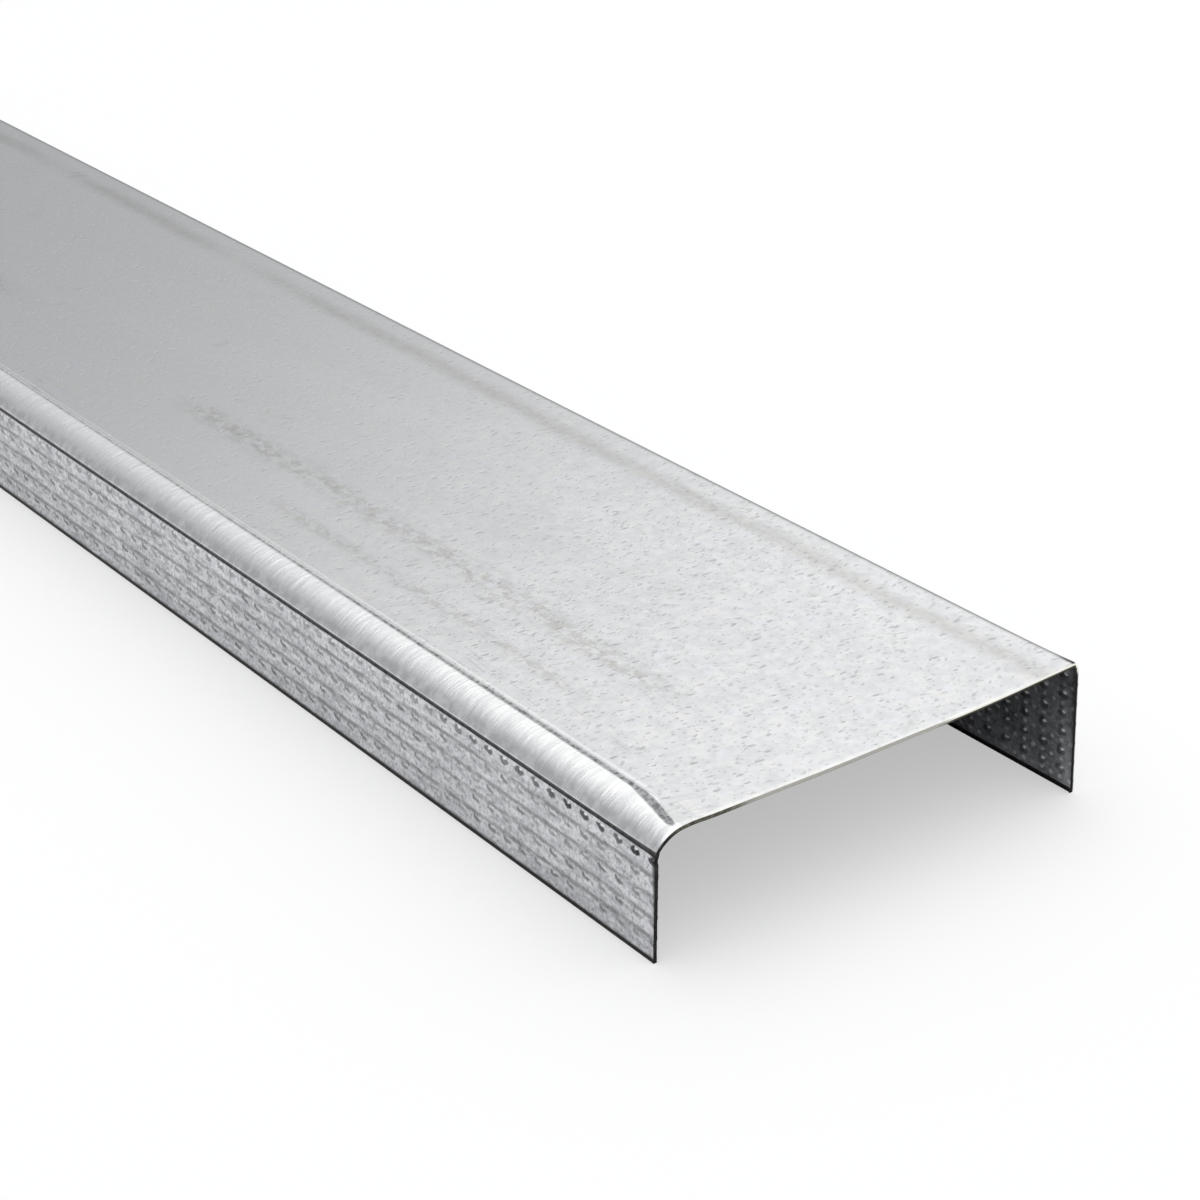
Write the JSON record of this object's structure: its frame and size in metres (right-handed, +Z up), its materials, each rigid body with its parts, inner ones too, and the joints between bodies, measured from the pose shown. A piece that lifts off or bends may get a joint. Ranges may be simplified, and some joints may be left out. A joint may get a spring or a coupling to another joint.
{
  "type": "galvanized steel channel",
  "caption": "Roll-formed galvanized steel track for partition walls: flat web, rolled shoulder on the left, plain bend on the right, and short knurled legs that stud ends fit between.",
  "frame": {"origin": "on the level that the channel lies on, under the middle of the web, halfway along its length", "axes": "+Z up through the web, Y along the length with the front end at -Y, X across the web with the rolled shoulder at -X"},
  "size_m": [0.093, 3.048, 0.0254],
  "materials": {
    "galvanized_sheet": "hot-dip zinc coat, light cool grey, finely mottled and pitted on the web, brushed on the rolled shoulder, knurled on the legs, with faint brown smudges along the web"
  },
  "bodies": {
    "root": {"channel": "galvanized_sheet"}
  },
  "joints": []
}
